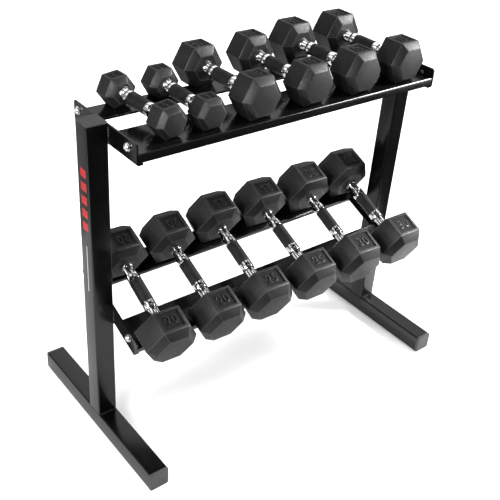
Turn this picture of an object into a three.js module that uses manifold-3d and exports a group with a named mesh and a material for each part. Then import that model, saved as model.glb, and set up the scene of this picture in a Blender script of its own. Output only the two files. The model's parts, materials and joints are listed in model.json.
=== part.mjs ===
// Two-tier dumbbell rack with twelve hexagonal dumbbells.
// Millimetres, +Z up, +X along the shelves, -Y the side a user stands on.
// Origin: on the floor, at the centre of the footprint.
import * as THREE from 'three';
import { mergeVertices } from 'three/addons/utils/BufferGeometryUtils.js';
import Module from 'manifold-3d';

const wasm = await Module();
wasm.setup();
const { Manifold, Mesh: ManifoldMesh } = wasm;

// ---------------------------------------------------------------- dimensions
const GAP = 0.3;                // clearance between pieces that are not welded

const TUBE = 50;                // square tube, outside
const WALL = 2.5;
const CORNER = 3;               // outside corner radius of the tube
const RACK_HALF = 489.7;        // outer faces of the uprights
const RACK_TOP = 846;
const FOOT_HALF = 262;          // foot tube, without its end caps
const FOOT_CAP = 5;
const UPRIGHT_CAP = 4;

const BRACKET = { length: 260, height: 48, sheet: 4, flange: 16 };
const BRACKET_FACE = RACK_HALF - TUBE;      // outer face of each bracket, |x|
const BOLT_U = [33, 240];       // bolt positions along a bracket, from its front end
const BOLT_H = 30.5;            // and above its lower edge
const BOLT = { shank: 5, head: 9.6, rise: 8.5, button: 5.2, buttonRise: 2 };

const SHELF = 25;               // resting surface above the bracket's lower edge
const SHEET = 3;
const TAB_TOP = 42;             // end tabs of the rails stand up to here
const RAIL_HALF = BRACKET_FACE - BRACKET.sheet - GAP;

// Each tier: front lower corner of the bracket, tilt about +X, and its rails.
const TIERS = {
  top: {
    y: -136, z: 792, tilt: 0,
    front: { u: [0.5, 121.5], legs: [5, 8], tab: [8, 60], bolt: BOLT_U[0] },
    rear: { u: [186.5, 258], legs: [20, 8], tab: [220, 256], bolt: BOLT_U[1] },
  },
  low: {
    y: -111.7, z: 284.6, tilt: 22,
    front: { u: [0.5, 87.5], legs: [5, 8], tab: [8, 60], bolt: BOLT_U[0] },
    rear: { u: [191.2, 258], legs: [12, 8], tab: [220, 256], bolt: BOLT_U[1] },
  },
};

// Dumbbell sizes. flats: across the flats of a head. ring: half distance between the outer
// ends of the two full sections. inner: half distance between their inner ends.
const SIZES = {
  5: { flats: 69.5, ring: 114, inner: 76.5 },
  10: { flats: 96.5, ring: 134.3, inner: 83 },
  15: { flats: 101.3, ring: 145, inner: 88 },
  20: { flats: 117, ring: 151.5, inner: 93 },
  25: { flats: 123.2, ring: 156, inner: 97.5 },
  30: { flats: 126.3, ring: 160.4, inner: 95 },
};
const FACE_SCALE = 0.72;        // end face against the full section
const THROAT_SCALE = 0.6;       // inner face against the full section
const THROAT = 12;              // length of the inner taper
const PANEL = { margin: 5, depth: 1.2 };
const BOSS = { r: 18.2, rise: 3 };
const BORE_DEPTH = 20;
const GRIP = { r: 16.2, half: 32 };
const COLLAR = { r: 16.4, share: 0.42 };
const NECK_R = 13.8;

// Name, tier, size, place along the rack, place along the bracket, turn about the shelf's
// normal, roll about the handle. The first one leans a little on one edge.
const DUMBBELLS = [
  ['t1', 'top', 5, -343.4, 142.5, 2.8, -5.5], ['t2', 'top', 5, -237, 140.1, -0.6],
  ['t3', 'top', 10, -113.6, 152.7, 0.7], ['t4', 'top', 10, 44.9, 155.4, 0.4],
  ['t5', 'top', 15, 196.4, 164.5, 0.3], ['t6', 'top', 15, 350.6, 165.5, -0.1],
  ['l1', 'low', 20, -373.6, 106.9, -2.4], ['l2', 'low', 20, -231.2, 107, -1.1],
  ['l3', 'low', 25, -84, 112.8, -1.7], ['l4', 'low', 25, 69.8, 112.8, -1.4],
  ['l5', 'low', 30, 226.8, 113.8, -2.1], ['l6', 'low', 30, 382.5, 117.5, -1],
];

// ---------------------------------------------------------------- materials
const paint = (name, color, roughness, metalness) => {
  const m = new THREE.MeshStandardMaterial({ color, roughness, metalness });
  m.name = name;
  return m;
};
const COLORS = {
  frame: [0x1d1d1f, 0.42, 0.35], cap: [0x2a2a2c, 0.7, 0.0], bolt: [0xc9cacb, 0.22, 1.0],
  head: [0x2c2d30, 0.62, 0.0], handle: [0x8f9194, 0.34, 1.0],
};

// ---------------------------------------------------------------- solid helpers
function solid(geometry) {
  const g = geometry.clone();
  for (const key of Object.keys(g.attributes)) if (key !== 'position') g.deleteAttribute(key);
  const m = mergeVertices(g, 1e-4);
  return new Manifold(new ManifoldMesh({
    numProp: 3,
    vertProperties: new Float32Array(m.attributes.position.array),
    triVerts: new Uint32Array(m.index.array),
  }));
}

function geometryOf(manifold) {
  const mesh = manifold.getMesh();
  const g = new THREE.BufferGeometry();
  g.setAttribute('position', new THREE.BufferAttribute(new Float32Array(mesh.vertProperties), 3));
  g.setIndex(new THREE.BufferAttribute(new Uint32Array(mesh.triVerts), 1));
  const flat = g.toNonIndexed();
  flat.computeVertexNormals();
  return flat;
}

function box(x0, x1, y0, y1, z0, z1) {
  const g = new THREE.BoxGeometry(x1 - x0, y1 - y0, z1 - z0);
  return solid(g.translate((x0 + x1) / 2, (y0 + y1) / 2, (z0 + z1) / 2));
}

// Cylinder along X from x0 to x1, centred on (y, z).
function rodX(r, x0, x1, y, z, segments = 16) {
  const g = new THREE.CylinderGeometry(r, r, Math.abs(x1 - x0), segments);
  return solid(g.rotateZ(Math.PI / 2).translate((x0 + x1) / 2, y, z));
}

function roundedSquare(half, r, Path = THREE.Shape) {
  const p = new Path();
  const c = half - r;
  const steps = 3;
  [[c, c, 0], [-c, c, 1], [-c, -c, 2], [c, -c, 3]].forEach(([x, y, q]) => {
    for (let i = 0; i <= steps; i += 1) {
      const a = (q + i / steps) * Math.PI / 2;
      const at = [x + r * Math.cos(a), y + r * Math.sin(a)];
      if (q === 0 && i === 0) p.moveTo(...at); else p.lineTo(...at);
    }
  });
  p.closePath();
  return p;
}

// Square tube along +Z, from 0 to length.
function tube(length) {
  const shape = roundedSquare(TUBE / 2, CORNER);
  shape.holes.push(roundedSquare(TUBE / 2 - WALL, Math.max(CORNER - WALL, 0.5), THREE.Path));
  return new THREE.ExtrudeGeometry(shape, { depth: length, bevelEnabled: false });
}

// Closed outline in (u, h), extruded along X between x0 and x1.
function sheetX(outline, x0, x1) {
  const shape = new THREE.Shape(outline.map(([u, h]) => new THREE.Vector2(u, h)));
  const g = new THREE.ExtrudeGeometry(shape, { depth: x1 - x0, bevelEnabled: false });
  // (u, h, depth) becomes (x, y, z) = (x0 + depth, u, h)
  g.applyMatrix4(new THREE.Matrix4().set(0, 0, 1, x0, 1, 0, 0, 0, 0, 1, 0, 0, 0, 0, 0, 1));
  return solid(g);
}

function tierMatrix(tier) {
  return new THREE.Matrix4().makeTranslation(0, tier.y, tier.z)
    .multiply(new THREE.Matrix4().makeRotationX(THREE.MathUtils.degToRad(tier.tilt)));
}

const group = new THREE.Group();
group.name = 'dumbbell_rack';

function add(name, geometry, look) {
  const mesh = new THREE.Mesh(geometry, paint(look, ...COLORS[look]));
  mesh.name = name;
  group.add(mesh);
}

// ---------------------------------------------------------------- frame
function makeUpright() {
  const wall = solid(tube(RACK_TOP - TUBE - 1));
  const lid = solid(new THREE.ExtrudeGeometry(roundedSquare(TUBE / 2, CORNER),
    { depth: UPRIGHT_CAP, bevelEnabled: false }).translate(0, 0, RACK_TOP - TUBE - UPRIGHT_CAP));
  return wall.add(lid);
}

function makeFoot() {
  const g = tube(2 * FOOT_HALF);
  return solid(g.rotateX(-Math.PI / 2).translate(0, -FOOT_HALF, 0));
}

function makeFootCap(end) {
  const inside = TUBE / 2 - WALL - 0.5;
  const y0 = FOOT_HALF + GAP;
  const plate = solid(new THREE.ExtrudeGeometry(roundedSquare(TUBE / 2, CORNER),
    { depth: FOOT_CAP, bevelEnabled: true, bevelThickness: 1.2, bevelSize: 1.2,
      bevelOffset: -1.2, bevelSegments: 2 })
    .translate(0, 0, 1.2).rotateX(-Math.PI / 2).translate(0, y0, 0));
  const plug = box(-inside, inside, y0 - 14, y0 + 3, -inside, inside);
  const cap = plate.add(plug);
  return end > 0 ? cap : cap.rotate([0, 0, 180]);
}

for (const [side, sign] of [['left', -1], ['right', 1]]) {
  const x = sign * (RACK_HALF - TUBE / 2);
  add(`upright_${side}`, geometryOf(makeUpright().translate([x, 0, TUBE])), 'frame');
  add(`foot_${side}`, geometryOf(makeFoot().translate([x, 0, TUBE / 2])), 'frame');
  for (const [end, way] of [['front', -1], ['rear', 1]]) {
    add(`foot_cap_${side}_${end}`, geometryOf(makeFootCap(way).translate([x, 0, TUBE / 2])), 'cap');
  }
}

// ---------------------------------------------------------------- shelves
// Angle bracket, built for the right side: plate outside, flange folded in at the bottom.
function makeBracket(sign) {
  const face = BRACKET_FACE;
  const plate = box(face - BRACKET.sheet, face, 0, BRACKET.length, 0, BRACKET.height);
  const flange = box(face - BRACKET.flange, face - 1, 0, BRACKET.length, 0, BRACKET.sheet);
  let body = plate.add(flange);
  for (const u of BOLT_U) {
    body = body.subtract(rodX(BOLT.shank + 0.5, face - 10, face + 10, u, BOLT_H));
  }
  return sign > 0 ? body : body.mirror([1, 0, 0]);
}

// Folded rail: resting surface with a leg along each edge and a bolted tab at each end.
function makeRail({ u: [u0, u1], legs: [h0, h1], tab: [t0, t1], bolt }) {
  const s = SHEET;
  const outline = [[u0, h0], [u0 + s, h0], [u0 + s, SHELF - s], [u1 - s, SHELF - s],
    [u1 - s, h1], [u1, h1], [u1, SHELF], [u0, SHELF]];
  let body = sheetX(outline, -RAIL_HALF, RAIL_HALF);
  for (const sign of [-1, 1]) {
    const near = Math.min(sign * RAIL_HALF, sign * (RAIL_HALF - s));
    body = body.add(box(near, near + s, t0, t1, SHELF - s, TAB_TOP));
    body = body.subtract(rodX(BOLT.shank + 0.5, near - 5, near + s + 5, bolt, BOLT_H));
  }
  return body;
}

// Domed bolt along X through bracket and tab, its button end inside.
function makeBolt(u) {
  const face = BRACKET_FACE;
  const inner = RAIL_HALF - SHEET;
  const profile = [[0, inner - GAP - BOLT.buttonRise], [BOLT.button - 1, inner - GAP - BOLT.buttonRise],
    [BOLT.button, inner - GAP - BOLT.buttonRise + 1], [BOLT.button, inner - GAP],
    [BOLT.shank, inner - GAP], [BOLT.shank, face + GAP], [BOLT.head, face + GAP],
    [BOLT.head * 0.96, face + GAP + BOLT.rise * 0.4], [BOLT.head * 0.72, face + GAP + BOLT.rise * 0.8],
    [0, face + GAP + BOLT.rise]];
  const g = new THREE.LatheGeometry(profile.map(([r, x]) => new THREE.Vector2(r, x)), 16);
  return solid(g.rotateZ(-Math.PI / 2).translate(0, u, BOLT_H));
}

for (const [tierName, tier] of Object.entries(TIERS)) {
  const place = tierMatrix(tier);
  for (const [side, sign] of [['left', -1], ['right', 1]]) {
    add(`bracket_${tierName}_${side}`, geometryOf(makeBracket(sign)).applyMatrix4(place), 'frame');
    for (const [end, u] of [['front', BOLT_U[0]], ['rear', BOLT_U[1]]]) {
      const bolt = sign > 0 ? makeBolt(u) : makeBolt(u).mirror([1, 0, 0]);
      add(`bolt_${tierName}_${side}_${end}`, geometryOf(bolt).applyMatrix4(place), 'bolt');
    }
  }
  for (const end of ['front', 'rear']) {
    add(`rail_${tierName}_${end}`, geometryOf(makeRail(tier[end])).applyMatrix4(place), 'frame');
  }
}

// ---------------------------------------------------------------- dumbbells
// Hexagonal sections along Y, flat side down. stations: [y, corner radius].
function hexLoft(stations) {
  const positions = [];
  const index = [];
  stations.forEach(([y, r]) => {
    for (let k = 0; k < 6; k += 1) {
      const a = k * Math.PI / 3;
      positions.push(r * Math.cos(a), y, r * Math.sin(a));
    }
  });
  for (let i = 0; i + 1 < stations.length; i += 1) {
    for (let k = 0; k < 6; k += 1) {
      const a = i * 6 + k;
      const b = i * 6 + (k + 1) % 6;
      index.push(a, a + 6, b, b, a + 6, b + 6);
    }
  }
  const last = (stations.length - 1) * 6;
  for (let k = 1; k < 5; k += 1) {
    index.push(0, k, k + 1);
    index.push(last, last + k + 1, last + k);
  }
  const g = new THREE.BufferGeometry();
  g.setAttribute('position', new THREE.Float32BufferAttribute(positions, 3));
  g.setIndex(index);
  return solid(g);
}

function lathedY(profile, segments = 16) {
  return solid(new THREE.LatheGeometry(profile.map(([r, y]) => new THREE.Vector2(r, y)), segments));
}

// Head on the +Y end of the handle, with a shallow panel sunk in its top facet.
function makeHead({ flats, ring, inner }) {
  const corner = flats / Math.sqrt(3);
  const bevel = 3 + 0.13 * flats;
  const throat = inner - THROAT;
  const loft = hexLoft([[throat, corner * THROAT_SCALE], [inner, corner], [ring, corner],
    [ring + bevel, corner * FACE_SCALE]]);
  const boss = lathedY([[0, throat - BOSS.rise], [BOSS.r - 1.5, throat - BOSS.rise],
    [BOSS.r, throat - BOSS.rise + 1.5], [BOSS.r, throat + 4], [0, throat + 4]]);
  const bore = lathedY([[0, throat - BOSS.rise - 5], [NECK_R + 2 * GAP, throat - BOSS.rise - 5],
    [NECK_R + 2 * GAP, throat + BORE_DEPTH + GAP], [0, throat + BORE_DEPTH + GAP]]);
  const w = corner / 2 - PANEL.margin;
  const panel = box(-w, w, inner + PANEL.margin, ring - PANEL.margin,
    flats / 2 - PANEL.depth, flats / 2 + 5);
  return loft.add(boss).subtract(bore).subtract(panel);
}

function makeHandle({ inner }) {
  const end = inner - THROAT + BORE_DEPTH;
  const bare = inner - THROAT - BOSS.rise - GRIP.half;
  const shoulder = GRIP.half + COLLAR.share * bare;
  const half = [[0, end], [NECK_R - 1, end], [NECK_R, end - 1], [NECK_R, shoulder],
    [COLLAR.r - 0.8, shoulder], [COLLAR.r, shoulder - 0.8], [COLLAR.r, GRIP.half],
    [GRIP.r, GRIP.half]];
  const mirrored = half.map(([r, y]) => [r, -y]);
  return lathedY([...mirrored, ...half.reverse()]);
}

for (const [name, tierName, size, x, u, yaw, roll = 0] of DUMBBELLS) {
  const spec = SIZES[size];
  const lean = THREE.MathUtils.degToRad(roll);
  const lowest = spec.flats / Math.sqrt(3) * Math.cos(Math.PI / 6 - Math.abs(lean));
  const place = tierMatrix(TIERS[tierName])
    .multiply(new THREE.Matrix4().makeTranslation(x, u, SHELF + 0.05 + lowest))
    .multiply(new THREE.Matrix4().makeRotationZ(THREE.MathUtils.degToRad(yaw)))
    .multiply(new THREE.Matrix4().makeRotationY(lean));
  const head = makeHead(spec);
  add(`handle_${name}`, geometryOf(makeHandle(spec)).applyMatrix4(place), 'handle');
  add(`head_${name}_rear`, geometryOf(head).applyMatrix4(place), 'head');
  add(`head_${name}_front`, geometryOf(head.rotate([0, 0, 180])).applyMatrix4(place), 'head');
}

export default group;
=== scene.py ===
import json
import math

import bmesh
import bpy
from mathutils import Matrix, Vector

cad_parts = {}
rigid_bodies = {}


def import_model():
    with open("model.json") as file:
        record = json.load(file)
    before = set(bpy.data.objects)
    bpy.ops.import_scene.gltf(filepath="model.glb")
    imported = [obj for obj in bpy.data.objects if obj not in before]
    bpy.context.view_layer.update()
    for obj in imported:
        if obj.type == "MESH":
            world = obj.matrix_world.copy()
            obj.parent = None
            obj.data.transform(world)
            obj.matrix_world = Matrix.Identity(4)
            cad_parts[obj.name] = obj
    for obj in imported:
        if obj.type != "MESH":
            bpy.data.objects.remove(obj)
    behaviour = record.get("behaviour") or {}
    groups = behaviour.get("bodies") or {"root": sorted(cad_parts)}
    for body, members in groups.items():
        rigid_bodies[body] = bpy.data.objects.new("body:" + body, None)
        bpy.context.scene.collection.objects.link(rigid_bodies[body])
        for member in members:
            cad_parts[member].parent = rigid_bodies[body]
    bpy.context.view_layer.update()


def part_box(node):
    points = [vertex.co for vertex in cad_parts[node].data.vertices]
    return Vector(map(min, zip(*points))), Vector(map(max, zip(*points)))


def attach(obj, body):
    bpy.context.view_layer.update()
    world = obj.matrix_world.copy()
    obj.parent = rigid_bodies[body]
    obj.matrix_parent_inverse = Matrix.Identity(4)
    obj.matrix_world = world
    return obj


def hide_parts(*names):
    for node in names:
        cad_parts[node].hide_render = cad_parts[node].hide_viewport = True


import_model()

MM = 0.001

# ------------------------------------------------------------------ dimensions, mm
TUBE, WALL, CORNER = 50.0, 2.5, 4.0
RACK_HALF = 489.7
RACK_TOP = 846.0
FOOT_HALF = 262.0
BRACKET_FACE = RACK_HALF - TUBE
BRACKET_LENGTH, BRACKET_HEIGHT, BRACKET_SHEET, BRACKET_FLANGE = 260.0, 48.0, 4.0, 16.0
BOLT_U, BOLT_H = (33.0, 240.0), 30.5
SHELF, SHEET, TAB_TOP = 25.0, 3.0, 42.0
GAP = 0.3
RAIL_HALF = BRACKET_FACE - BRACKET_SHEET - GAP

# y, z: front lower corner of a tier's brackets. front and rear: where a rail starts and ends
# along the bracket, and the lower ends of its two legs. TABS: where the rails' end tabs are.
TIERS = {
    "top": {"y": -136.0, "z": 792.0, "tilt": 0.0,
            "front": (0.5, 121.5, 5, 8), "rear": (186.5, 258.0, 20.0, 8.0)},
    "low": {"y": -111.7, "z": 284.6, "tilt": 22.0,
            "front": (0.5, 87.5, 5, 8), "rear": (191.2, 258.0, 12.0, 8.0)},
}
TABS = (("front", (8, 60)), ("rear", (220, 256)))

# Pounds: a head's size across its flats, and half the distances between the outer ends and
# between the inner ends of the two heads' full sections.
SIZES = {
    5: (69.5, 114.0, 76.5), 10: (96.5, 134.3, 83.0), 15: (101.3, 145.0, 88.0),
    20: (117.0, 151.5, 93.0), 25: (123.2, 156.0, 97.5), 30: (126.3, 160.4, 95.0),
}
FACE_SCALE, THROAT_SCALE, THROAT = 0.72, 0.6, 12.0
GRIP_R, GRIP_HALF = 16.2, 32.0
COLLAR_R, COLLAR_SHARE, NECK_R = 16.4, 0.42, 13.8
BOSS_RISE = 3.0
PANEL_DEPTH, NUMERAL_RISE = 3.0, 0.7

EDGE_ROUND, LIP = 0.5, 0.4      # rounding of a tube's outer and inner end edges
TOP_CAP = 4.0                   # thickness of the caps on the uprights
PLUG_GAP = 0.6                  # play of a cap's plug inside its tube
FOOT_PLUG, TOP_PLUG = 14.0, 12.0
CUT_ROUND = 0.35                # rounding of a sheet's cut edges
BEND_STEP = 1.2                 # points closer than this are on a bend
RAIL_BEND, BRACKET_BEND, BRACKET_CORNER = 2.2, 3.6, 4.0
TAB_CORNER, TAB_EDGE = 5.0, 0.4
BEAD_R = 2.6                    # weld beads
DECAL_BARS, DECAL_TOP, DECAL_PITCH, DECAL_BAR_HALF = 5, 731.0, 33.0, 10.0
KNURL_AROUND, KNURL_DEPTH = 36, 0.55

# Name, tier, pounds, place along X and along the brackets, turn and roll in degrees.
DUMBBELLS = [
    ("t1", "top", 5, -343.4, 142.5, 2.8, -5.5), ("t2", "top", 5, -237.0, 140.1, -0.6, 0.0),
    ("t3", "top", 10, -113.6, 152.7, 0.7, 0.0), ("t4", "top", 10, 44.9, 155.4, 0.4, 0.0),
    ("t5", "top", 15, 196.4, 164.5, 0.3, 0.0), ("t6", "top", 15, 350.6, 165.5, -0.1, 0.0),
    ("l1", "low", 20, -373.6, 106.9, -2.4, 0.0), ("l2", "low", 20, -231.2, 107.0, -1.1, 0.0),
    ("l3", "low", 25, -84.0, 112.8, -1.7, 0.0), ("l4", "low", 25, 69.8, 112.8, -1.4, 0.0),
    ("l5", "low", 30, 226.8, 113.8, -2.1, 0.0), ("l6", "low", 30, 382.5, 117.5, -1.0, 0.0),
]


# ------------------------------------------------------------------ node helpers
class Nodes:
    """Small helper for one material's node tree."""

    def __init__(self, name):
        self.mat = bpy.data.materials.new(name)
        self.mat.use_nodes = True
        self.tree = self.mat.node_tree
        self.bsdf = self.tree.nodes["Principled BSDF"]

    def add(self, kind, **values):
        node = self.tree.nodes.new(kind)
        for key, value in values.items():
            if hasattr(node, key):
                setattr(node, key, value)
            else:
                node.inputs[key.replace("_", " ")].default_value = value
        return node

    def link(self, a, b):
        self.tree.links.new(a, b)

    def coords(self):
        return self.add("ShaderNodeTexCoord").outputs["Object"]

    def noise(self, vector, scale, detail=3.0, rough=0.5):
        n = self.add("ShaderNodeTexNoise")
        n.inputs["Scale"].default_value = scale
        n.inputs["Detail"].default_value = detail
        n.inputs["Roughness"].default_value = rough
        self.link(vector, n.inputs["Vector"])
        return n.outputs["Fac"]

    def remap(self, value, a, b, lo, hi):
        n = self.add("ShaderNodeMapRange")
        for key, v in (("From Min", a), ("From Max", b), ("To Min", lo), ("To Max", hi)):
            n.inputs[key].default_value = v
        self.link(value, n.inputs["Value"])
        return n.outputs["Result"]

    def math(self, op, a, b):
        n = self.add("ShaderNodeMath", operation=op)
        for i, v in enumerate((a, b)):
            if isinstance(v, (int, float)):
                n.inputs[i].default_value = v
            else:
                self.link(v, n.inputs[i])
        return n.outputs[0]

    def mix(self, fac, a, b):
        n = self.add("ShaderNodeMix", data_type="RGBA")
        self.link(fac, n.inputs["Factor"])
        for socket, v in ((n.inputs[6], a), (n.inputs[7], b)):
            if isinstance(v, tuple):
                socket.default_value = (*v, 1.0)
            else:
                self.link(v, socket)
        return n.outputs[2]

    def attribute(self, name):
        return self.add("ShaderNodeAttribute", attribute_name=name).outputs["Fac"]

    def bump(self, height, strength, distance, normal=None):
        n = self.add("ShaderNodeBump")
        n.inputs["Strength"].default_value = strength
        n.inputs["Distance"].default_value = distance
        self.link(height, n.inputs["Height"])
        if normal is not None:
            self.link(normal, n.inputs["Normal"])
        return n.outputs["Normal"]

    def set(self, **values):
        for key, v in values.items():
            socket = self.bsdf.inputs[key.replace("_", " ")]
            if isinstance(v, tuple):
                socket.default_value = (*v, 1.0)
            elif isinstance(v, (int, float)):
                socket.default_value = v
            else:
                self.link(v, socket)
        return self.mat


def make_paint():
    """Black satin powder coat: fine orange peel and dust; marked edges, folds and beads painted
    lighter, part wear and part painted highlight.
    """
    m = Nodes("powder_coat")
    v = m.coords()
    cloud = m.noise(v, 9.0, 4.0, 0.6)
    fine = m.noise(v, 900.0, 2.0)
    edge = m.attribute("edge")
    # marked edges and folds painted lighter: part wear, part painted highlight along the bends
    wear_and_highlight = m.math("MULTIPLY", edge, m.remap(m.noise(v, 60.0, 5.0, 0.7), 0.35, 0.75, 0.0, 1.0))
    base = m.mix(m.remap(cloud, 0.3, 0.7, 0.0, 1.0),
                 (0.0025, 0.0025, 0.0027), (0.0045, 0.0045, 0.0047))
    color = m.mix(m.math("MULTIPLY", wear_and_highlight, 0.35), base, (0.03, 0.03, 0.031))
    rough = m.math("ADD", m.remap(cloud, 0.3, 0.7, 0.15, 0.2), m.remap(fine, 0.3, 0.7, -0.02, 0.03))
    rough = m.math("SUBTRACT", rough, m.math("MULTIPLY", edge, 0.05))
    normal = m.bump(m.noise(v, 420.0, 2.0), 0.10, 0.0006)
    normal = m.bump(fine, 0.12, 0.0002, normal)
    return m.set(Base_Color=color, Roughness=rough, Normal=normal, IOR=1.5)


def make_cap():
    """Moulded plastic caps, matte with a fine spark-eroded grain."""
    m = Nodes("cap_plastic")
    v = m.coords()
    grain = m.noise(v, 340.0, 3.0)
    cloud = m.noise(v, 25.0, 3.0)
    tone = m.math("ADD", m.remap(cloud, 0.35, 0.7, 0.0, 0.5), m.remap(grain, 0.35, 0.65, -0.3, 0.5))
    color = m.mix(tone, (0.05, 0.05, 0.052), (0.095, 0.095, 0.097))
    rough = m.remap(grain, 0.3, 0.7, 0.5, 0.62)
    return m.set(Base_Color=color, Roughness=rough, Normal=m.bump(grain, 0.25, 0.0003), IOR=1.48)


def make_rubber():
    """Moulded rubber coat on the heads: speckled and faintly dusty; edges and panel rims painted
    lighter, part scuff and part painted highlight.
    """
    m = Nodes("head_rubber")
    v = m.coords()
    cloud = m.noise(v, 14.0, 4.0, 0.6)
    speck = m.noise(v, 300.0, 3.0, 0.7)
    edge = m.attribute("edge")
    # marked edges and rims painted lighter: part scuff, part painted highlight
    scuff_and_highlight = m.math("MULTIPLY", edge, m.remap(m.noise(v, 90.0, 5.0, 0.7), 0.38, 0.72, 0.35, 1.0))
    base = m.mix(m.remap(cloud, 0.3, 0.7, 0.0, 1.0),
                 (0.008, 0.0081, 0.0085), (0.012, 0.0122, 0.0127))
    base = m.mix(m.remap(speck, 0.48, 0.72, 0.0, 0.75), base, (0.034, 0.034, 0.035))
    color = m.mix(m.math("MULTIPLY", scuff_and_highlight, 0.8), base, (0.09, 0.09, 0.092))
    pebble = m.noise(v, 150.0, 3.0)
    rough = m.math("ADD", m.remap(cloud, 0.3, 0.7, 0.43, 0.53), m.math("MULTIPLY", edge, -0.08))
    rough = m.math("ADD", rough, m.remap(pebble, 0.35, 0.65, -0.05, 0.05))
    normal = m.bump(pebble, 0.3, 0.0009)
    normal = m.bump(speck, 0.45, 0.0005, normal)
    return m.set(Base_Color=color, Roughness=rough, Normal=normal, IOR=1.5)


def make_panel():
    """Floor of the sunk panels: coarser, duller rubber, its colour painted darker than the facets
    around it, painted shade in the recess.
    """
    m = Nodes("panel_rubber_shaded")
    v = m.coords()
    pebble = m.noise(v, 260.0, 3.0, 0.6)
    # darker colour than the facets: painted shade in the recess
    color = m.mix(m.remap(pebble, 0.4, 0.75, 0.0, 1.0),
                  (0.004, 0.004, 0.0042), (0.011, 0.011, 0.0114))
    return m.set(Base_Color=color, Roughness=m.remap(pebble, 0.3, 0.7, 0.52, 0.64),
                 Normal=m.bump(pebble, 0.4, 0.0005), IOR=1.45, Specular_IOR_Level=0.3)


def make_numerals():
    """Raised numerals, rubbed to a gloss."""
    m = Nodes("numeral_rubber")
    v = m.coords()
    rub = m.noise(v, 200.0, 4.0, 0.6)
    color = m.mix(m.remap(rub, 0.45, 0.8, 0.0, 1.0), (0.003, 0.003, 0.0032), (0.014, 0.014, 0.0145))
    return m.set(Base_Color=color, Roughness=m.remap(rub, 0.3, 0.7, 0.34, 0.46),
                 Normal=m.bump(rub, 0.15, 0.0003), IOR=1.5)


def make_chrome():
    """Plated necks: bright and very slightly uneven."""
    m = Nodes("neck_chrome")
    v = m.coords()
    smear = m.noise(v, 40.0, 3.0)
    rough = m.remap(smear, 0.3, 0.7, 0.11, 0.16)
    color = m.mix(m.remap(smear, 0.3, 0.7, 0.0, 1.0), (0.72, 0.73, 0.74), (0.8, 0.8, 0.81))
    return m.set(Base_Color=color, Roughness=rough, Metallic=1.0,
                 Normal=m.bump(m.noise(v, 900.0, 2.0), 0.005, 0.0001))


def make_grip():
    """Knurled grip: dull plated steel, its colour painted darker in the valleys and lighter on the
    peaks, painted shade of the knurl.
    """
    m = Nodes("grip_knurl")
    v = m.coords()
    knurl_shade = m.attribute("edge")
    cloud = m.noise(v, 60.0, 4.0, 0.6)
    # knurl height turned into tone: painted shade in the valleys
    tone = m.math("ADD", m.math("MULTIPLY", knurl_shade, 0.7), m.remap(cloud, 0.3, 0.7, -0.1, 0.25))
    color = m.mix(tone, (0.008, 0.008, 0.0084), (0.06, 0.06, 0.062))
    return m.set(Base_Color=color, Roughness=m.remap(cloud, 0.3, 0.7, 0.42, 0.55), Metallic=0.6,
                 Normal=m.bump(m.noise(v, 1500.0, 2.0), 0.2, 0.0002))


def make_zinc():
    """Bright zinc-plated bolt heads with a soft mottled sheen."""
    m = Nodes("bolt_zinc")
    v = m.coords()
    cloud = m.noise(v, 220.0, 4.0, 0.6)
    color = m.mix(m.remap(cloud, 0.3, 0.7, 0.0, 1.0), (0.72, 0.72, 0.73), (0.86, 0.86, 0.86))
    return m.set(Base_Color=color, Roughness=m.remap(cloud, 0.3, 0.7, 0.24, 0.32), Metallic=1.0,
                 Normal=m.bump(cloud, 0.04, 0.0001))


def make_decal(name, tint, dark):
    """Thin vinyl film, slightly faded and scratched."""
    m = Nodes(name)
    v = m.coords()
    cloud = m.noise(v, 70.0, 4.0, 0.6)
    color = m.mix(m.remap(cloud, 0.3, 0.75, 0.0, 1.0), tint, dark)
    return m.set(Base_Color=color, Roughness=m.remap(cloud, 0.3, 0.7, 0.3, 0.42),
                 Normal=m.bump(m.noise(v, 600.0, 2.0), 0.08, 0.0002))


PAINT, CAP, RUBBER = make_paint(), make_cap(), make_rubber()
HEAD_FINISH = [RUBBER, make_panel(), make_numerals()]
CHROME, GRIP, ZINC = make_chrome(), make_grip(), make_zinc()
RED = make_decal("decal_red", (0.62, 0.02, 0.02), (0.5, 0.014, 0.014))
WHITE = make_decal("decal_white", (0.75, 0.75, 0.75), (0.62, 0.62, 0.62))


# ------------------------------------------------------------------ mesh helpers
def mesh_object(name, bm, materials=()):
    """Object made from a bmesh, which is used up."""
    mesh = bpy.data.meshes.new(name)
    bm.to_mesh(mesh)
    bm.free()
    for material in materials:
        mesh.materials.append(material)
    obj = bpy.data.objects.new(name, mesh)
    bpy.context.scene.collection.objects.link(obj)
    return obj


def absorb(bm, other):
    """Adds another bmesh, which is used up."""
    mesh = bpy.data.meshes.new("part")
    other.to_mesh(mesh)
    other.free()
    bm.from_mesh(mesh)
    bpy.data.meshes.remove(mesh)


def piece(name, bm, materials, body, nodes=(), matrix=None, sharp=32.0):
    """Turns a bmesh in millimetres into a shown piece that rides on a CAD body."""
    bmesh.ops.transform(bm, matrix=Matrix.Scale(MM, 4) @ (matrix or Matrix.Identity(4)),
                        verts=bm.verts)
    bmesh.ops.recalc_face_normals(bm, faces=bm.faces)
    limit = math.radians(sharp)
    for e in bm.edges:
        e.smooth = len(e.link_faces) == 2 and e.calc_face_angle(0.0) < limit
    for f in bm.faces:
        f.smooth = True
    obj = mesh_object(name, bm, materials if isinstance(materials, list) else [materials])
    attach(obj, body)
    if nodes:
        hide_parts(*nodes)


def edge_layer(bm):
    """Layer that the materials read as the attribute "edge"."""
    return bm.verts.layers.float.get("edge") or bm.verts.layers.float.new("edge")


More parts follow.
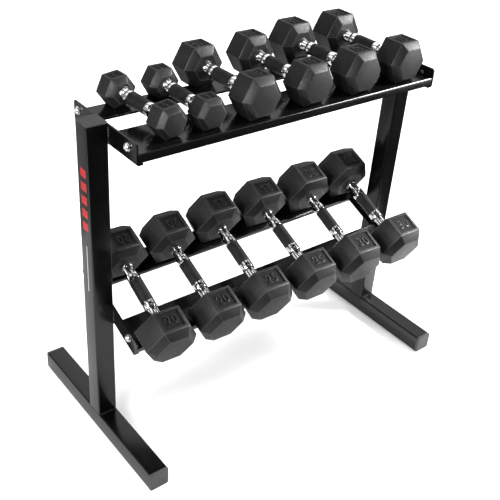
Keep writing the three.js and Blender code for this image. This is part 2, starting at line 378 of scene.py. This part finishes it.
def soften(bm, edges, width, segments=3):
    """Rounds edges and marks the middle of each, which the rubber and the paint show lighter: part
    wear, part painted highlight.
    """
    layer = edge_layer(bm)
    made = bmesh.ops.bevel(bm, geom=list(edges), offset=width, segments=segments, profile=0.5,
                           affect="EDGES", clamp_overlap=True)
    faces = set(made["faces"])
    for face in faces:
        for v in face.verts:
            if all(other in faces for other in v.link_faces):
                v[layer] = 1.0


def sharp_edges(bm, degrees=25.0):
    return [e for e in bm.edges
            if len(e.link_faces) == 2 and e.calc_face_angle(0.0) > math.radians(degrees)]


def rounded_square(half, r, steps=6):
    points = []
    c = half - r
    for q, (sx, sy) in enumerate(((1, 1), (-1, 1), (-1, -1), (1, -1))):
        for i in range(steps + 1):
            a = (q + i / steps) * math.pi / 2
            points.append((sx * c + r * math.cos(a), sy * c + r * math.sin(a)))
    return points


def rings(bm, loops, closed_ends=(True, True)):
    """Skins a list of closed loops of 3-D points, and returns the rows of vertices."""
    rows = [[bm.verts.new(p) for p in loop] for loop in loops]
    n = len(rows[0])
    for a, b in zip(rows[:-1], rows[1:]):
        for i in range(n):
            bm.faces.new((a[i], a[(i + 1) % n], b[(i + 1) % n], b[i]))
    if closed_ends[0]:
        bm.faces.new(list(reversed(rows[0])))
    if closed_ends[1]:
        bm.faces.new(rows[-1])
    return rows


def tube_bm(length):
    """Square tube along +Z. Its wall turns in at each end with a small rounded lip."""
    bm = bmesh.new()
    layer = edge_layer(bm)
    outer, hollow = TUBE / 2, TUBE / 2 - WALL
    hollow_r = max(CORNER - WALL, 0.8)
    steps = (
        (hollow, hollow_r, length - LIP), (hollow + LIP, hollow_r + LIP, length),
        (outer - EDGE_ROUND, CORNER - EDGE_ROUND, length), (outer, CORNER, length - EDGE_ROUND),
        (outer, CORNER, EDGE_ROUND), (outer - EDGE_ROUND, CORNER - EDGE_ROUND, 0.0),
        (hollow + LIP, hollow_r + LIP, 0.0), (hollow, hollow_r, LIP),
    )
    rows = [[bm.verts.new((x, y, z)) for x, y in rounded_square(half, r)] for half, r, z in steps]
    n = len(rows[0])
    for k, a in enumerate(rows):
        b = rows[(k + 1) % len(rows)]
        for i in range(n):
            bm.faces.new((a[i], a[(i + 1) % n], b[(i + 1) % n], b[i]))
    for (_, _, z), row in zip(steps, rows):
        if z in (0.0, length):
            for v in row:
                v[layer] = 1.0
    return bm


def lathe(bm, profile, segments, axis="Y", close=True, wobble=None):
    """Turned solid along an axis. profile: (radius, station) pairs, with optional end faces.
    wobble(radius, station, angle) may change a radius."""
    loops = []
    for r, s in profile:
        loop = []
        for i in range(segments):
            a = 2 * math.pi * i / segments
            rr = r if wobble is None else wobble(r, s, a)
            c, d = rr * math.cos(a), rr * math.sin(a)
            loop.append((c, s, d) if axis == "Y" else (s, c, d))
        loops.append(loop)
    return rings(bm, loops, (close, close))


def fillet(points, radius, steps=6):
    """Rounds the corners of an open polyline."""
    out = [Vector(points[0])]
    for a, b, c in zip(points[:-2], points[1:-1], points[2:]):
        a, b, c = Vector(a), Vector(b), Vector(c)
        u, w = (a - b).normalized(), (c - b).normalized()
        half = u.angle(w) / 2
        d = radius / math.tan(half)
        start, end = b + u * d, b + w * d
        centre = b + (u + w).normalized() * (radius / math.sin(half))
        s, e = start - centre, end - centre
        total = s.angle_signed(e)
        for i in range(steps + 1):
            t = -total * i / steps
            out.append(centre + Vector((s.x * math.cos(t) - s.y * math.sin(t),
                                        s.x * math.sin(t) + s.y * math.cos(t))))
    out.append(Vector(points[-1]))
    return out


def sheet_outline(middle, thickness):
    """Closed outline of bent sheet around its middle line, with slightly rounded cut edges."""
    left, right = [], []
    for i, p in enumerate(middle):
        a = middle[max(i - 1, 0)]
        b = middle[min(i + 1, len(middle) - 1)]
        t = (b - a).normalized()
        n = Vector((-t.y, t.x)) * thickness / 2
        left.append(p + n)
        right.append(p - n)
    for side in (left, right):
        for end, inward in ((0, 1), (-1, -2)):
            t = (side[inward] - side[end]).normalized()
            side[end] = side[end] + t * CUT_ROUND
    cap0 = [middle[0] + (right[0] - middle[0]) * 0.75, middle[0] + (left[0] - middle[0]) * 0.75]
    t1 = (middle[-1] - middle[-2]).normalized()
    cap1 = [middle[-1] + (left[-1] - middle[-1] + t1 * CUT_ROUND) * 0.75,
            middle[-1] + (right[-1] - middle[-1] + t1 * CUT_ROUND) * 0.75]
    return cap0[1:] + left + cap1 + right[::-1] + cap0[:1]


def sweep_x(outline, x0, x1):
    """Extrudes an outline in (u, h) along X, and marks the points inside its bends, which the paint
    shows lighter: part wear, part painted highlight.
    """
    bm = bmesh.new()
    layer = edge_layer(bm)
    rows = rings(bm, [[(x, p[0], p[1]) for p in outline] for x in (x0, x1)])
    count = len(outline)
    for i, point in enumerate(outline):
        near = max((outline[k % count] - point).length for k in (i - 1, i + 1))
        for row in rows:
            row[i][layer] = 1.0 if near < BEND_STEP else 0.0
    return bm


def box(bm, x0, x1, y0, y1, z0, z1):
    verts = [bm.verts.new((x, y, z)) for z in (z0, z1) for y in (y0, y1) for x in (x0, x1)]
    for f in ((0, 2, 3, 1), (4, 5, 7, 6), (0, 1, 5, 4), (2, 6, 7, 3), (0, 4, 6, 2), (1, 3, 7, 5)):
        bm.faces.new([verts[i] for i in f])


def tier_matrix(tier):
    return (Matrix.Translation((0, tier["y"], tier["z"]))
            @ Matrix.Rotation(math.radians(tier["tilt"]), 4, "X"))


def bead_bm(start, end, radius=2.1, pitch=2.6):
    """Weld bead: overlapping ripples along a straight seam, drooping a little at its ends."""
    bm = bmesh.new()
    layer = edge_layer(bm)
    start, end = Vector(start), Vector(end)
    along = (end - start).normalized()
    side = along.orthogonal().normalized()
    up = along.cross(side)
    length = (end - start).length
    count = max(int(length / pitch * 4), 8)
    loops = []
    for i in range(count + 1):
        t = i / count
        ripple = abs(math.sin(t * length / pitch * math.pi))
        fade = min(1.0, 0.35 + 6.0 * min(t, 1 - t))
        r = radius * fade * (0.84 + 0.2 * ripple)
        jitter = 0.25 * math.sin(t * length * 0.9) + 0.15 * math.sin(t * length * 2.3)
        centre = start + along * length * t + side * jitter
        loops.append([centre + (side * math.cos(a) + up * math.sin(a)) * r
                      for a in (2 * math.pi * k / 12 for k in range(12))])
    rows = rings(bm, loops)
    for row in rows:
        for v in row:
            v[layer] = 0.5
    return bm


# ------------------------------------------------------------------ frame pieces
CAP_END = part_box("foot_cap_left_rear")[1][1] / MM      # where the end caps stop, along Y


def make_foot_cap(bm, way):
    """Plug and cushioned end plate on one end of a foot. way: +1 at the rear, -1 at the front."""
    y0 = FOOT_HALF + GAP
    half = TUBE / 2
    end = CAP_END - y0
    steps = ((half - 0.3, CORNER, 0.0), (half, CORNER, 0.5), (half, CORNER, end - 1.8),
             (half - 0.6, CORNER, end - 0.6), (half - 1.6, CORNER - 0.8, end),
             (half - 6.0, 2.0, end))
    rings(bm, [[(x, way * (y0 + d), z) for x, z in rounded_square(h, r)] for h, r, d in steps])
    plug = half - WALL - PLUG_GAP
    a, b = y0 - FOOT_PLUG, y0 + 0.5
    box(bm, -plug, plug, min(way * a, way * b), max(way * a, way * b), -plug, plug)


def make_top_cap_bm():
    """Plug and lid of an upright, with its plug below z = 0."""
    half = TUBE / 2
    plug = half - WALL - PLUG_GAP
    steps = ((plug, 2.0, -TOP_PLUG), (plug, 2.0, 0.0), (half - 0.2, CORNER, 0.0),
             (half - 0.05, CORNER, 0.5), (half - 0.05, CORNER, 2.6), (half - 0.8, CORNER, 3.6),
             (half - 1.8, CORNER - 0.6, TOP_CAP), (half - 8.0, 2.0, TOP_CAP))
    bm = bmesh.new()
    rings(bm, [[(x, y, z) for x, y in rounded_square(h, r)] for h, r, z in steps])
    return bm


def make_bolt_bm(side, u):
    """Button-head bolt with a hexagon socket, lying along X."""
    bm = bmesh.new()
    layer = edge_layer(bm)
    face = BRACKET_FACE + GAP
    inner = RAIL_HALF - SHEET - GAP
    dome = [(9.2 * math.cos(t), face + 1.6 + 6.9 * math.sin(t))
            for t in (i * math.radians(66) / 9 for i in range(10))]
    top = dome[-1][1]
    nut = [(0.01, inner - 2.0), (4.4, inner - 2.0), (5.2, inner - 1.2), (5.2, inner)]
    shank = [(4.9, inner), (4.9, face)]
    washer = [(9.6, face), (10.0, face + 0.4), (10.0, face + 1.2), (9.4, face + 1.5)]
    socket = [(3.5, top + 0.25), (3.3, top + 0.1), (2.9, top - 2.2), (0.01, top - 2.4)]

    def hexagon(r, s, a):
        if side * s > top - 3 and r < 3.4:
            k = (a % (math.pi / 3)) - math.pi / 6
            return r * math.cos(math.pi / 6) / math.cos(k) * 1.08
        return r

    rows = lathe(bm, [(r, side * s) for r, s in nut + shank + washer + dome + socket], 36,
                 axis="X", wobble=hexagon)
    for row in rows[6:9]:
        for v in row:
            v[layer] = 1.0
    bmesh.ops.translate(bm, verts=bm.verts, vec=(0, u, BOLT_H))
    return bm


SIDES = (("left", -1), ("right", 1))
ENDS = (("front", -1), ("rear", 1))

for side, sign in SIDES:
    x = sign * (RACK_HALF - TUBE / 2)
    piece(f"upright_tube_{side}", tube_bm(RACK_TOP - TUBE - TOP_CAP - GAP), PAINT, "rack",
          [f"upright_{side}"], Matrix.Translation((x, 0, TUBE)))
    piece(f"upright_cap_{side}", make_top_cap_bm(), CAP, "rack", (),
          Matrix.Translation((x, 0, RACK_TOP - TOP_CAP)))
    piece(f"foot_tube_{side}", tube_bm(2 * FOOT_HALF), PAINT, "rack", [f"foot_{side}"],
          Matrix.Translation((x, -FOOT_HALF, TUBE / 2)) @ Matrix.Rotation(-math.pi / 2, 4, "X"))
    for end, way in ENDS:
        bm = bmesh.new()
        make_foot_cap(bm, way)
        piece(f"foot_end_{side}_{end}", bm, CAP, "rack", [f"foot_cap_{side}_{end}"],
              Matrix.Translation((x, 0, TUBE / 2)))
    for end, way in ENDS:
        y, z, half = way * (TUBE / 2 + 0.6), TUBE + 0.8, TUBE / 2 - 2
        bm = bead_bm((x - half, y, z), (x + half, y, z), BEAD_R, 3.0)
        piece(f"weld_foot_{side}_{end}", bm, PAINT, "rack")

LOW = TIERS["low"]
for side, sign in SIDES:
    for end, way in ENDS:
        x = sign * (BRACKET_FACE + GAP)
        y = way * (TUBE / 2 + 0.4)
        tilt = math.radians(LOW["tilt"])
        low_edge = LOW["z"] + (y - LOW["y"]) * math.tan(tilt)
        low_seam = (low_edge + 4, low_edge + 46 / math.cos(tilt))
        for tier, (z0, z1) in (("top", (795, 834)), ("low", low_seam)):
            bm = bead_bm((x, y, z0), (x, y, z1), BEAD_R, 3.2)
            piece(f"weld_{tier}_{side}_{end}", bm, PAINT, "rack")


def make_bracket_bm(sign):
    """Folded angle plate. The bolts fill its holes."""
    face = BRACKET_FACE - BRACKET_SHEET / 2
    mid = BRACKET_SHEET / 2
    path = fillet([(face, BRACKET_HEIGHT), (face, mid), (BRACKET_FACE - BRACKET_FLANGE, mid)],
                  BRACKET_BEND)
    outline = sheet_outline([Vector(p) for p in path], BRACKET_SHEET)
    bm = bmesh.new()
    layer = edge_layer(bm)
    r = BRACKET_CORNER
    corner = [(r - r * math.cos(t), r - r * math.sin(t))
              for t in (i * math.pi / 12 for i in range(7))]
    stations = corner + [(BRACKET_LENGTH - u, drop) for u, drop in reversed(corner)]
    loops = []
    for u, drop in stations:
        loops.append([(sign * p[0], u, p[1] - (drop if p[1] > BRACKET_HEIGHT - 5 else 0.0))
                      for p in outline])
    rows = rings(bm, loops)
    for v in rows[0] + rows[-1]:
        v[layer] = 0.6
    return bm


def make_rail_bm(u0, u1, leg0, leg1, tab):
    """Folded channel from u0 to u1 with upturned end tabs. leg0 and leg1: lower ends of its
    front and rear legs. tab: where the tabs start and end."""
    s = SHEET
    m = s / 2
    path = fillet([(u0 + m, leg0), (u0 + m, SHELF - m), (u1 - m, SHELF - m), (u1 - m, leg1)],
                  RAIL_BEND)
    outline = sheet_outline([Vector(p) for p in path], s)
    bm = sweep_x(outline, -RAIL_HALF, RAIL_HALF)
    for sign in (-1, 1):
        a, b = sign * RAIL_HALF, sign * (RAIL_HALF - s)
        tab_bm = bmesh.new()
        box(tab_bm, min(a, b), max(a, b), tab[0], tab[1], SHELF - s + 0.5, TAB_TOP)
        corners = [e for e in tab_bm.edges
                   if abs(e.verts[0].co.x - e.verts[1].co.x) > 1 and e.verts[0].co.z > SHELF]
        soften(tab_bm, corners, TAB_CORNER, 5)
        soften(tab_bm, sharp_edges(tab_bm, 50), TAB_EDGE, 2)
        absorb(bm, tab_bm)
    return bm


for tier_name, tier in TIERS.items():
    place = tier_matrix(tier)
    for side, sign in SIDES:
        piece(f"side_plate_{tier_name}_{side}", make_bracket_bm(sign), PAINT, "rack",
              [f"bracket_{tier_name}_{side}"], place)
        for end, u in zip(("front", "rear"), BOLT_U):
            piece(f"bolt_head_{tier_name}_{side}_{end}", make_bolt_bm(sign, u), ZINC, "rack",
                  [f"bolt_{tier_name}_{side}_{end}"], place)
    for end, tab in TABS:
        piece(f"shelf_rail_{tier_name}_{end}", make_rail_bm(*tier[end], tab), PAINT, "rack",
              [f"rail_{tier_name}_{end}"], place)


# ------------------------------------------------------------------ decal
def film_bm(x, y0, y1, z0, z1):
    """Thin film on a face whose normal is -X."""
    bm = bmesh.new()
    box(bm, x - 0.25, x + 0.1, y0, y1, z0, z1)
    corners = [e for e in bm.edges if abs(e.verts[0].co.x - e.verts[1].co.x) > 0.2]
    soften(bm, corners, 1.2, 3)
    return bm


for i in range(DECAL_BARS):
    z = DECAL_TOP - i * DECAL_PITCH
    film = film_bm(-RACK_HALF, -14, 10, z - DECAL_BAR_HALF, z + DECAL_BAR_HALF)
    piece(f"decal_bar_{i + 1}", film, RED, "rack")
piece("decal_line", film_bm(-RACK_HALF, -4, -1, 425, 548), WHITE, "rack")


# ------------------------------------------------------------------ dumbbells
def digits_bm(text, size):
    """Raised numerals, centred on the origin and lying in the XY plane."""
    curve = bpy.data.curves.new("numerals", "FONT")
    curve.body = text
    curve.size = size
    curve.align_x, curve.align_y = "CENTER", "CENTER"
    curve.extrude = NUMERAL_RISE
    curve.bevel_depth = 0.12
    curve.bevel_resolution = 1
    curve.resolution_u = 4
    curve.offset = size * 0.012
    obj = bpy.data.objects.new("numerals", curve)
    bpy.context.scene.collection.objects.link(obj)
    bpy.context.view_layer.update()
    mesh = bpy.data.meshes.new_from_object(obj.evaluated_get(bpy.context.evaluated_depsgraph_get()))
    bpy.data.objects.remove(obj)
    bpy.data.curves.remove(curve)
    bm = bmesh.new()
    bm.from_mesh(mesh)
    bpy.data.meshes.remove(mesh)
    bmesh.ops.remove_doubles(bm, verts=bm.verts, dist=0.001)
    return bm


def make_head_bm(size):
    """Hexagonal head on the +Y end: crisp rounded edges, sunk panel with raised numerals."""
    flats, ring, inner = SIZES[size]
    corner = flats / math.sqrt(3)
    bevel = 3 + 0.13 * flats
    throat = inner - THROAT
    bm = bmesh.new()
    layer = edge_layer(bm)
    stations = ((throat, THROAT_SCALE), (inner, 1.0), (ring, 1.0), (ring + bevel, FACE_SCALE))
    loops = [[(corner * s * math.cos(k * math.pi / 3), y, corner * s * math.sin(k * math.pi / 3))
              for k in range(6)] for y, s in stations]
    rings(bm, loops)
    bmesh.ops.recalc_face_normals(bm, faces=bm.faces)
    soften(bm, sharp_edges(bm), 1.2 + flats * 0.006, 3)
    bm.faces.ensure_lookup_table()
    top = max((f for f in bm.faces if f.normal.z > 0.999), key=lambda f: f.calc_area())
    bmesh.ops.inset_region(bm, faces=[top], thickness=flats * 0.05 + 1.0, depth=0.0)
    bmesh.ops.inset_region(bm, faces=[top], thickness=0.5, depth=0.25)
    rim = list(top.verts)
    bmesh.ops.inset_region(bm, faces=[top], thickness=0.4, depth=-0.25)
    rim += list(top.verts)
    bmesh.ops.inset_region(bm, faces=[top], thickness=0.6, depth=-PANEL_DEPTH)
    # the panel's rim is marked, to be painted lighter: part scuff, part painted highlight
    for v in rim:
        v[layer] = 1.0
    top.material_index = 1
    text = digits_bm(str(size), min(corner * 0.5, (ring - inner) * 0.6))
    for v in text.verts:
        v.co = Vector((-v.co.x, (ring + inner) / 2 - v.co.y,
                       flats / 2 - PANEL_DEPTH + NUMERAL_RISE + v.co.z))
    for face in text.faces:
        face.material_index = 2
    absorb(bm, text)
    # rubber fillet where the neck comes out
    flare = ((0.5, 3), (0.5, -1.4), (0.9, -1.6), (1.6, -1.2), (3.0, -0.3), (5.0, 1))
    lathe(bm, [(NECK_R + r, throat + y) for r, y in flare], 40, close=False)
    return bm


def make_handle_parts(size):
    """(chrome bmesh, grip bmesh): stepped necks and collars, and a diamond-knurled grip."""
    inner = SIZES[size][2]
    end = inner - THROAT + 12
    chrome = bmesh.new()
    neck = inner - THROAT - BOSS_RISE
    shoulder = GRIP_HALF + COLLAR_SHARE * (neck - GRIP_HALF)
    step = neck - min(4.0, (neck - shoulder) * 0.3)
    profile = [(0.01, GRIP_HALF - 1), (NECK_R - 1, GRIP_HALF - 1), (NECK_R - 1, GRIP_HALF + 0.4)]
    profile += [(COLLAR_R - 0.5, GRIP_HALF + 0.4), (COLLAR_R - 0.12, GRIP_HALF + 0.6),
                (COLLAR_R, GRIP_HALF + 1.0), (COLLAR_R, shoulder - 0.6),
                (COLLAR_R - 0.2, shoulder - 0.1), (COLLAR_R - 0.7, shoulder + 0.1)]
    profile += [(NECK_R + 0.4, shoulder + 0.3), (NECK_R - 0.6, shoulder + 1.2),
                (NECK_R - 0.6, step - 1.0), (NECK_R - 0.3, step - 0.4), (NECK_R + 0.3, step),
                (NECK_R + 0.5, step + 0.5), (NECK_R + 0.5, end), (0.01, end)]
    for way in (-1, 1):
        lathe(chrome, [(r, way * y) for r, y in profile], 64)
    grip = bmesh.new()
    layer = edge_layer(grip)
    n_t, n_y = 4 * KNURL_AROUND, 92
    rows = []
    for j in range(n_y + 1):
        y = -GRIP_HALF + 2 * GRIP_HALF * j / n_y
        row = []
        fade = min(1.0, 0.15 + (GRIP_HALF - abs(y)) / 2.5)
        for i in range(n_t):
            a = 2 * math.pi * i / n_t
            p = a * KNURL_AROUND / 2 + y * KNURL_AROUND / (2 * GRIP_R)
            q = a * KNURL_AROUND / 2 - y * KNURL_AROUND / (2 * GRIP_R)
            h = min(abs(math.sin(p)), abs(math.sin(q))) * fade
            r = GRIP_R - 0.35 + KNURL_DEPTH * h
            v = grip.verts.new((r * math.cos(a), y, r * math.sin(a)))
            # knurl height, which the grip's colour shows as painted shade in the valleys
            v[layer] = h
            row.append(v)
        rows.append(row)
    for a, b in zip(rows[:-1], rows[1:]):
        for i in range(n_t):
            k = (i + 1) % n_t
            grip.faces.new((a[i], a[k], b[k], b[i]))
    grip.faces.new(list(reversed(rows[0])))
    grip.faces.new(rows[-1])
    return chrome, grip


for name, tier_name, size, x, u, yaw, roll in DUMBBELLS:
    flats = SIZES[size][0]
    lean = math.radians(roll)
    lowest = flats / math.sqrt(3) * math.cos(math.pi / 6 - abs(lean))
    place = (tier_matrix(TIERS[tier_name])
             @ Matrix.Translation((x, u, SHELF + 0.05 + lowest))
             @ Matrix.Rotation(math.radians(yaw), 4, "Z") @ Matrix.Rotation(lean, 4, "Y"))
    body = f"dumbbell_{name}"
    half_turn = Matrix.Rotation(math.pi, 4, "Z")
    chrome, grip = make_handle_parts(size)
    piece(f"grip_{name}", grip, GRIP, body, (), place, sharp=60)
    piece(f"necks_{name}", chrome, CHROME, body, [f"handle_{name}"], place, sharp=40)
    piece(f"hex_head_{name}_rear", make_head_bm(size), HEAD_FINISH, body,
          [f"head_{name}_rear"], place)
    piece(f"hex_head_{name}_front", make_head_bm(size), HEAD_FINISH, body,
          [f"head_{name}_front"], place @ half_turn)


# ------------------------------------------------------------------ stage, light, camera
# name, place, target, size in metres, watts
LIGHTS = (
    ("key_right", (1.85, -0.85, 1.9), (0.2, 0, 0.7), (0.5, 0.5), 80),
    ("low_right", (2.3, -1.75, 0.7), (0.2, 0, 0.6), (1.0, 0.9), 34),
    ("low_left", (-1.85, -1.1, 1.5), (-0.35, -0.1, 0.85), (0.4, 0.4), 30),
    ("left_side", (-2.4, -0.1, 1.3), (-0.5, 0, 0.5), (0.6, 0.6), 12),
)
# Soft boxes that only the plated parts mirror: overhead, behind on each side, and low left.
SOFT_BOXES = (((0.1, 0.9, 3.0), (0.8, 3.2)), ((-2.0, 0.9, 2.6), (3.0, 1.3)),
              ((1.9, 1.0, 2.4), (3.0, 0.9)), ((-1.6, 1.2, 0.3), (1.8, 0.5)))
SOFT_BOX_WATTS = 4.2      # for each square metre
# Soft patches of the studio's light: direction, sharpness, brightness.
PATCHES = (((0.42, 0.56, 0.72), 6.0, 1.05), ((-0.75, 0.62, 0.15), 5.0, 0.42),
           ((-0.35, 0.8, -0.48), 12.0, 0.35), ((0, 0, 1), 0.0, 0.03))

EYE = Vector((-1194.43, -1394.29, 1552.03)) * MM
LOOK = Vector((0.542833, 0.640182, -0.543599))
RIGHT = Vector((0.788224, -0.611768, 0.066652))
UP = Vector((0.289887, 0.464659, 0.836695))
SENSOR = 36.0
FOCAL = 818.23 / 500 * SENSOR
SHIFT_UP = 0.0024


def make_floor(name, x, y, z, color, glow, light_pool_x=None):
    """Paper that glows more and more away from the object, where the wash light fades. The last
    argument gives three places along X; towards the outer two the paper's colour is painted paler,
    painted light falling on it."""
    bm = bmesh.new()
    corners = ((x[0], y[0]), (x[1], y[0]), (x[1], y[1]), (x[0], y[1]))
    bm.faces.new([bm.verts.new((a, b, 0.0)) for a, b in corners])
    m = Nodes(name + "_paper")
    v = m.coords()
    shade = m.mix(m.noise(v, 3.0, 2.0), (color,) * 3, (color + 0.02,) * 3)
    if light_pool_x:
        along = m.add("ShaderNodeSeparateXYZ")
        m.link(v, along.inputs[0])
        left, middle, right = light_pool_x
        # colour painted paler towards both ends along X, most to the right: painted light on the
        # sheet
        painted_light = m.math("MAXIMUM", m.remap(along.outputs["X"], left, middle, 0.26, 0.0),
                      m.remap(along.outputs["X"], middle, right, 0.0, 0.92))
        shade = m.mix(painted_light, shade, (0.9, 0.9, 0.9))
    if glow:
        reach = m.add("ShaderNodeVectorMath", operation="LENGTH")
        m.link(v, reach.inputs[0])
        glow = m.remap(reach.outputs["Value"], 0.5, 4.0, 0.0, glow)
    paper = m.set(Base_Color=shade, Roughness=0.9, Emission_Color=(1.0, 1.0, 1.0),
                  Emission_Strength=glow)
    obj = mesh_object(name, bm, [paper])
    obj.location.z = z
    obj.visible_shadow = False
    return obj


def make_backdrop(radius):
    """Pale dome behind everything. Only the camera sees it, so it lights nothing."""
    bm = bmesh.new()
    bmesh.ops.create_uvsphere(bm, u_segments=64, v_segments=32, radius=radius)
    bmesh.ops.delete(bm, geom=[v for v in bm.verts if v.co.z < -0.2 * radius], context="VERTS")
    paper = Nodes("backdrop_paper").set(
        Base_Color=(0.0, 0.0, 0.0), Roughness=1.0, Specular_IOR_Level=0.0,
        Emission_Color=(1.0, 1.0, 1.0), Emission_Strength=1.0)
    obj = mesh_object("backdrop", bm, [paper])
    obj.visible_diffuse = obj.visible_glossy = obj.visible_shadow = False


def area(name, location, target, size, power):
    """Rectangular light aimed at a target, in metres and watts."""
    light = bpy.data.lights.new(name, "AREA")
    light.shape = "RECTANGLE"
    light.size, light.size_y = size
    light.energy = power
    obj = bpy.data.objects.new(name, light)
    bpy.context.scene.collection.objects.link(obj)
    obj.location = location
    obj.rotation_euler = (Vector(target) - Vector(location)).to_track_quat("-Z", "Y").to_euler()
    return obj


def light_only(name, lights, objects):
    """Links lights to the named group of objects, so that they light nothing else."""
    group = bpy.data.collections.new(name)
    for obj in objects:
        group.objects.link(obj)
    for light in lights:
        light.light_linking.receiver_collection = group


def make_world():
    """Dark studio with a few soft patches of light, which only reflections and shading see."""
    world = bpy.data.worlds.new("studio")
    world.use_nodes = True
    tree = world.node_tree

    def math_node(operation, a, b):
        node = tree.nodes.new("ShaderNodeMath")
        node.operation = operation
        tree.links.new(a, node.inputs[0])
        if isinstance(b, float):
            node.inputs[1].default_value = b
        else:
            tree.links.new(b, node.inputs[1])
        return node.outputs[0]

    direction = tree.nodes.new("ShaderNodeTexCoord").outputs["Generated"]
    total = None
    for aim, sharpness, strength in PATCHES:
        dot = tree.nodes.new("ShaderNodeVectorMath")
        dot.operation = "DOT_PRODUCT"
        dot.inputs[1].default_value = Vector(aim).normalized()
        tree.links.new(direction, dot.inputs[0])
        value = math_node("MAXIMUM", dot.outputs["Value"], 0.0001)
        value = math_node("MULTIPLY", math_node("POWER", value, sharpness), strength)
        total = value if total is None else math_node("ADD", total, value)
    background = tree.nodes["Background"]
    tree.links.new(total, background.inputs["Strength"])
    background.inputs["Color"].default_value = (1.0, 1.0, 1.0, 1.0)
    bpy.context.scene.world = world


def make_camera():
    """Camera at EYE, with its axes along RIGHT, UP and back from LOOK."""
    data = bpy.data.cameras.new("camera")
    data.sensor_width, data.lens, data.shift_y = SENSOR, FOCAL, SHIFT_UP
    data.clip_start, data.clip_end = 0.05, 50.0
    camera = bpy.data.objects.new("camera", data)
    bpy.context.scene.collection.objects.link(camera)
    axes = Matrix((RIGHT, UP, -LOOK)).transposed().to_4x4()
    camera.matrix_world = Matrix.Translation(EYE) @ axes
    bpy.context.scene.camera = camera


# The wide floor is the one seen. Only a sheet around the object is mirrored in its gloss, because
# in a dark studio the floor past the paper is dark. The sheet's paper is a darker copy of the
# floor's, painted shade, and painted paler towards its ends along X, painted light.
floor = make_floor("floor", (-8, 8), (-8, 8), -0.0004, 0.86, 1.0)
floor.visible_diffuse = floor.visible_glossy = False
sheet = make_floor("floor_shaded_sheet", (-2.2, 0.9), (-0.72, 0.85), -0.0008, 0.325, 0.0, (-0.5, 0.1, 0.6))
sheet.visible_camera = False
make_backdrop(7.5)

for light in LIGHTS:
    area(*light)
light_only("plated",
           [area("soft_box", at, (0, 0, 0.6), size, SOFT_BOX_WATTS * size[0] * size[1])
            for at, size in SOFT_BOXES],
           [obj for obj in bpy.context.scene.objects
            if obj.name.startswith(("necks_", "bolt_head_"))])
# A strip that only the top front rail mirrors, along its front fold.
light_only("folds", [area("fold_strip", (1.75, -0.83, 2.25), (0.25, -0.13, 0.82), (0.9, 0.35), 60)],
           [bpy.data.objects["shelf_rail_top_front"]])
light_only("floors", [area("floor_wash", (-0.4, 0.2, 4.0), (-0.2, 0.1, 0.0), (5.0, 5.0), 350)],
           [floor, sheet])
make_world()
make_camera()
bpy.context.scene.view_settings.view_transform = "Standard"
bpy.context.scene.view_settings.look = "None"
bpy.context.scene.view_settings.exposure = 0.0
